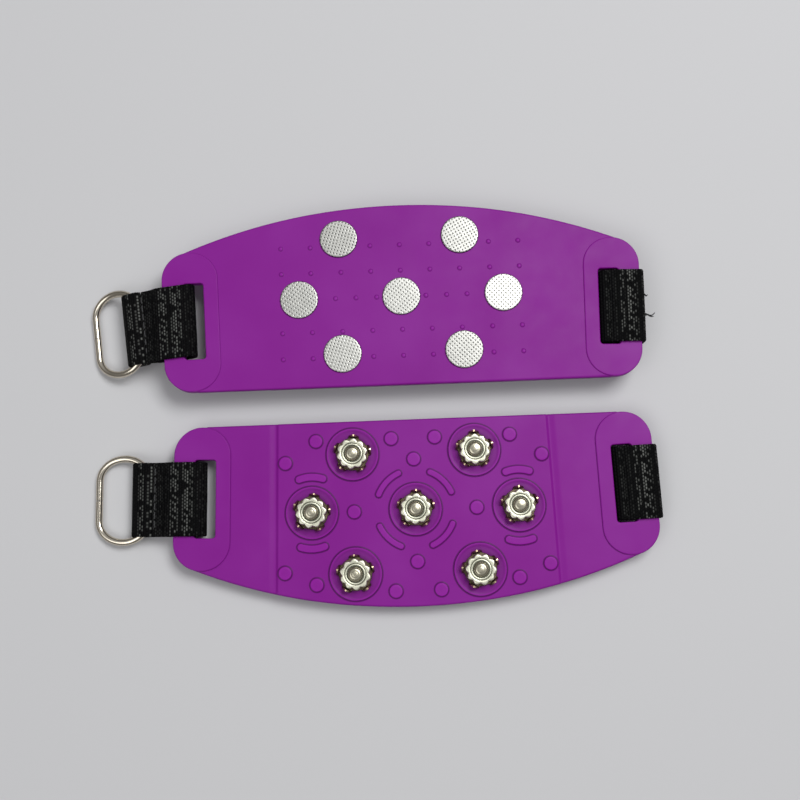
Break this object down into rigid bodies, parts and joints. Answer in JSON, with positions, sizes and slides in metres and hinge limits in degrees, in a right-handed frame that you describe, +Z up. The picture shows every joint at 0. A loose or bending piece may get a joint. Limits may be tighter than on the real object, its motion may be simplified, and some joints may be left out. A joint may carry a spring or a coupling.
{
  "type": "strap-on ice grip pair",
  "caption": "Pair of strap-on ice grips: folding rubber plates with crown studs, a ring on a webbing tab and a webbing strap.",
  "frame": {"origin": "middle of the pair's box, on the floor they lie on", "axes": "+X along the plates from the ring ends to the strap ends, +Y from grip b to grip a, +Z up"},
  "size_m": [0.191, 0.1354, 0.0126],
  "materials": {
    "rubber": "smooth moulded, soft sheen",
    "head_steel": "zinc plated, knurled",
    "pin_steel": "spun dome",
    "crown_steel": "zinc plated, satin",
    "claw_brass": "dull yellow plating",
    "ring_nickel": "bright nickel wire",
    "webbing": "black woven webbing",
    "loop_tape": "looped pile",
    "hook_tape": "moulded hooks"
  },
  "bodies": {
    "a_sole": {"a_sole": "rubber", "a_head_discs": "head_steel", "a_rivet_pins": "pin_steel", "a_crowns": "crown_steel", "a_claw_washers": "claw_brass"},
    "a_wing_left": {"a_wing_left": "rubber", "a_ring_loop": "webbing"},
    "a_wing_right": {"a_wing_right": "rubber", "a_strap_loop": "webbing"},
    "a_ring_tab": {"a_ring_tab": "webbing", "a_ring_pocket": "webbing"},
    "a_ring": {"a_ring": "ring_nickel"},
    "a_strap_base": {"a_strap_base": "webbing"},
    "a_strap_tail": {"a_strap_tail": "webbing", "a_loop_tape": "loop_tape", "a_hook_tape": "hook_tape"},
    "b_sole": {"b_sole": "rubber", "b_head_discs": "head_steel", "b_rivet_pins": "pin_steel", "b_crowns": "crown_steel", "b_claw_washers": "claw_brass"},
    "b_wing_left": {"b_wing_left": "rubber", "b_ring_loop": "webbing"},
    "b_wing_right": {"b_wing_right": "rubber", "b_strap_loop": "webbing"},
    "b_ring_tab": {"b_ring_tab": "webbing", "b_ring_pocket": "webbing"},
    "b_ring": {"b_ring": "ring_nickel"},
    "b_strap_base": {"b_strap_base": "webbing"},
    "b_strap_tail": {"b_strap_tail": "webbing", "b_loop_tape": "loop_tape", "b_hook_tape": "hook_tape"}
  },
  "joints": [
    {"name": "a_fold_left", "type": "hinge", "parent": "a_sole", "child": "a_wing_left", "pos_m": [-0.03485, 0.03725, 0.01082], "axis": [-0.0262, 0.9997, 0], "range_deg": [0, 90], "stiffness_Nm_per_rad": 0.04},
    {"name": "a_fold_right", "type": "hinge", "parent": "a_sole", "child": "a_wing_right", "pos_m": [0.05855, 0.03725, 0.01082], "axis": [0.0262, 0.9997, 0], "range_deg": [-90, 0], "stiffness_Nm_per_rad": 0.04},
    {"name": "a_tab_swing", "type": "hinge", "parent": "a_wing_left", "child": "a_ring_tab", "pos_m": [-0.07351, 0.02874, 0.00942], "axis": [-0.0958, 0.9954, 0], "range_deg": [-62, 108]},
    {"name": "a_ring_swing", "type": "hinge", "parent": "a_ring_tab", "child": "a_ring", "pos_m": [-0.07709, 0.0284, 0.00791], "axis": [-0.0958, 0.9954, 0], "range_deg": [-80, 80], "deforming": ["a_ring_pocket"]},
    {"name": "a_strap_swing", "type": "hinge", "parent": "a_wing_right", "child": "a_strap_base", "pos_m": [0.0931, 0.02944, 0.00547], "axis": [0.0262, 0.9997, 0], "range_deg": [-180, 0]},
    {"name": "a_strap_bend", "type": "hinge", "parent": "a_strap_base", "child": "a_strap_tail", "pos_m": [0.06486, 0.03018, 0.00185], "axis": [0.0262, 0.9997, 0], "range_deg": [-90, 0]},
    {"name": "b_fold_left", "type": "hinge", "parent": "b_sole", "child": "b_wing_left", "pos_m": [-0.03285, -0.03725, 0.00322], "axis": [0.0262, 0.9997, 0], "range_deg": [-90, 0], "stiffness_Nm_per_rad": 0.04},
    {"name": "b_fold_right", "type": "hinge", "parent": "b_sole", "child": "b_wing_right", "pos_m": [0.06055, -0.03725, 0.00322], "axis": [-0.0262, 0.9997, 0], "range_deg": [0, 90], "stiffness_Nm_per_rad": 0.04},
    {"name": "b_tab_swing", "type": "hinge", "parent": "b_wing_left", "child": "b_ring_tab", "pos_m": [-0.07155, -0.02933, 0.00462], "axis": [0.0262, 0.9997, 0], "range_deg": [-76, 94]},
    {"name": "b_ring_swing", "type": "hinge", "parent": "b_ring_tab", "child": "b_ring", "pos_m": [-0.0754, -0.02923, 0.00399], "axis": [0.0262, 0.9997, 0], "range_deg": [-80, 80], "deforming": ["b_ring_pocket"]},
    {"name": "b_strap_swing", "type": "hinge", "parent": "b_wing_right", "child": "b_strap_base", "pos_m": [0.0951, -0.02944, 0.00067], "axis": [-0.0262, 0.9997, 0], "range_deg": [-90, 0]},
    {"name": "b_strap_bend", "type": "hinge", "parent": "b_strap_base", "child": "b_strap_tail", "pos_m": [0.06686, -0.03018, 0.00185], "axis": [-0.0262, 0.9997, 0], "range_deg": [-90, 0]},
    {"name": "b_lift", "type": "slide", "parent": "a_sole", "child": "b_sole", "axis": [0, 0, 1], "range_m": [0, 0.06]}
  ],
  "couplings": [
    {"joint": "b_strap_swing", "follows": "b_fold_right", "ratio": -1}
  ]
}
